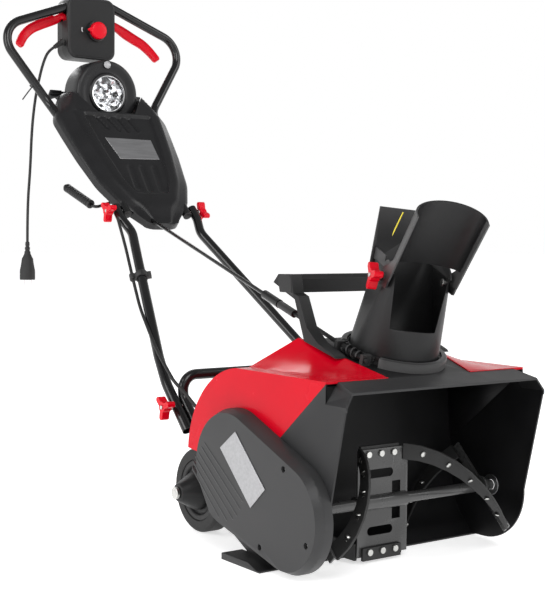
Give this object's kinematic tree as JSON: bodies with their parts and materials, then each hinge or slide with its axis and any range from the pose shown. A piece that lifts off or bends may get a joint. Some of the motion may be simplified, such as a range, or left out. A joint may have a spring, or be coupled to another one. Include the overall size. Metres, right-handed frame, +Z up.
{
  "type": "electric snow blower",
  "caption": "Corded walk-behind snow blower with a rubber auger in an open housing, a turning discharge chute with tilting hood, and a folding handle with console, levers and headlight.",
  "frame": {"origin": "On the ground, at the middle of the flat sole of the scraper bar.", "axes": "The intake faces -Y and the handle trails towards +Y; +X is the left side of the person who pushes it; +Z is up."},
  "size_m": [0.568, 1.4738, 1.2],
  "materials": {
    "housing_grey": "fine grain moulded, dark grey",
    "cover_red": "glossy red moulding",
    "black_plastic": "fine grain moulded, near black",
    "red_plastic": "satin red moulding",
    "black_steel": "gloss black powder coat",
    "steel": "zinc plated steel",
    "rotor_black": "black paint",
    "motor_steel": "grey paint",
    "chrome_trim": "bright",
    "lens": "clear faceted",
    "rubber": "matte black",
    "tyre": "matte black"
  },
  "bodies": {
    "root": {"auger_housing": "housing_grey", "chute_base": "black_plastic", "motor_cover": "cover_red", "rear_housing": "black_plastic", "belt_cover": "housing_grey", "belt_cover_screws": "steel", "drive_belt": "rubber", "motor_can": "motor_steel", "auger_bearings": "steel", "scraper_bar": "black_plastic", "wheel_axle": "chrome_trim", "frame_bar": "black_steel", "carry_handle": "black_plastic", "worm_bracket": "black_plastic", "lower_pivot_bolts": "steel", "power_cable_body": "rubber"},
    "rotor": {"auger_shaft": "steel", "auger_pulley": "steel", "paddle_frame": "rotor_black", "paddle_rubbers": "rubber", "flights_left": "rubber", "flights_right": "rubber", "rotor_bolts": "steel", "end_arms": "steel"},
    "motor": {"motor_armature": "steel", "motor_pulley": "steel"},
    "wheel_left": {"wheel_left_rim": "black_plastic", "wheel_left_tyre": "tyre"},
    "wheel_right": {"wheel_right_rim": "black_plastic", "wheel_right_tyre": "tyre"},
    "chute": {"chute_body": "black_plastic", "chute_gear": "black_plastic", "deflector_bolts": "steel"},
    "deflector": {"deflector": "black_plastic"},
    "knob_deflector": {"deflector_knob": "red_plastic"},
    "worm": {"chute_worm": "black_steel"},
    "lower_handle": {"lower_tube_left": "black_steel", "lower_tube_right": "black_steel", "cable_clips": "black_plastic", "power_cable_lower": "rubber", "upper_pivot_bolts": "steel"},
    "upper_handle": {"upper_handle_tube": "black_steel", "console_shell": "black_plastic", "console_back": "black_plastic", "headlight_reflector": "chrome_trim", "headlight_lens": "lens", "switch_box_front": "black_plastic", "switch_box_back": "black_plastic", "cord_boot": "rubber", "power_cord": "rubber", "plug": "rubber"},
    "crank": {"crank_rod": "black_steel"},
    "grip": {"crank_grip": "black_plastic"},
    "lever_left": {"bail_left": "red_plastic"},
    "lever_right": {"bail_right": "red_plastic"},
    "button": {"safety_button": "red_plastic"},
    "knob_lower_l": {"knob_lower_left": "red_plastic"},
    "knob_lower_r": {"knob_lower_right": "red_plastic"},
    "knob_upper_l": {"knob_upper_left": "red_plastic"},
    "knob_upper_r": {"knob_upper_right": "red_plastic"}
  },
  "joints": [
    {"name": "rotor_spin", "type": "hinge", "parent": "root", "child": "rotor", "pos_m": [0, -0.107, 0.108], "axis": [1, 0, 0], "continuous": true},
    {"name": "motor_spin", "type": "hinge", "parent": "root", "child": "motor", "pos_m": [-0.15, 0.065, 0.16], "axis": [1, 0, 0], "continuous": true},
    {"name": "wheel_left_spin", "type": "hinge", "parent": "root", "child": "wheel_left", "pos_m": [0.19, 0.262, 0.083], "axis": [1, 0, 0], "continuous": true},
    {"name": "wheel_right_spin", "type": "hinge", "parent": "root", "child": "wheel_right", "pos_m": [-0.19, 0.262, 0.083], "axis": [1, 0, 0], "continuous": true},
    {"name": "lower_handle_tilt", "type": "hinge", "parent": "root", "child": "lower_handle", "pos_m": [0, 0.351, 0.24], "axis": [1, 0, 0], "range_deg": [-10, 0]},
    {"name": "upper_handle_fold", "type": "hinge", "parent": "lower_handle", "child": "upper_handle", "pos_m": [0, 0.785, 0.645], "axis": [1, 0, 0], "range_deg": [-100, 0]},
    {"name": "chute_turn", "type": "hinge", "parent": "root", "child": "chute", "pos_m": [0, -0.079, 0.369], "axis": [0, -0.2622, 0.965], "range_deg": [-67, 112]},
    {"name": "worm_spin", "type": "hinge", "parent": "root", "child": "worm", "pos_m": [-0.098, -0.082, 0.38], "axis": [0.0799, 0.9569, 0.279], "range_deg": [-2450, 4080]},
    {"name": "crank_spin", "type": "hinge", "parent": "upper_handle", "child": "crank", "pos_m": [-0.02608, 0.77925, 0.63114], "axis": [0.0799, 0.9569, 0.279], "range_deg": [-2450, 4080]},
    {"name": "grip_spin", "type": "hinge", "parent": "crank", "child": "grip", "pos_m": [-0.09246, 1.00369, 0.68346], "axis": [-0.1351, 0.9098, 0.3924], "continuous": true},
    {"name": "deflector_tilt", "type": "hinge", "parent": "chute", "child": "deflector", "pos_m": [-0.01614, -0.15784, 0.51131], "axis": [0.9232, -0.3709, -0.1008], "range_deg": [-25, 18]},
    {"name": "deflector_knob_spin", "type": "hinge", "parent": "chute", "child": "knob_deflector", "pos_m": [-0.08815, -0.12892, 0.51916], "axis": [-0.9232, 0.3709, 0.1008], "continuous": true},
    {"name": "bail_left_squeeze", "type": "hinge", "parent": "upper_handle", "child": "lever_left", "pos_m": [0.042, 1.11, 1.085], "axis": [1, 0, 0], "range_deg": [0, 12], "stiffness_Nm_per_rad": 0.5, "springref_deg": -8.59},
    {"name": "bail_right_squeeze", "type": "hinge", "parent": "upper_handle", "child": "lever_right", "pos_m": [-0.074, 1.11, 1.085], "axis": [1, 0, 0], "range_deg": [0, 12], "stiffness_Nm_per_rad": 0.5, "springref_deg": -8.59},
    {"name": "safety_button_press", "type": "slide", "parent": "upper_handle", "child": "button", "axis": [0, 1, 0], "range_m": [0, 0.004], "stiffness_N_per_m": 300, "springref_m": -0.003},
    {"name": "knob_lower_left_spin", "type": "hinge", "parent": "root", "child": "knob_lower_l", "pos_m": [0.23, 0.351, 0.24], "axis": [1, 0, 0], "continuous": true},
    {"name": "knob_lower_right_spin", "type": "hinge", "parent": "root", "child": "knob_lower_r", "pos_m": [-0.23, 0.351, 0.24], "axis": [-1, 0, 0], "continuous": true},
    {"name": "knob_upper_left_spin", "type": "hinge", "parent": "lower_handle", "child": "knob_upper_l", "pos_m": [0.129, 0.785, 0.645], "axis": [1, 0, 0], "continuous": true},
    {"name": "knob_upper_right_spin", "type": "hinge", "parent": "lower_handle", "child": "knob_upper_r", "pos_m": [-0.129, 0.785, 0.645], "axis": [-1, 0, 0], "continuous": true}
  ],
  "couplings": [
    {"joint": "motor_spin", "follows": "rotor_spin", "ratio": 3.6471},
    {"joint": "worm_spin", "follows": "chute_turn", "ratio": 36},
    {"joint": "crank_spin", "follows": "chute_turn", "ratio": 36}
  ]
}
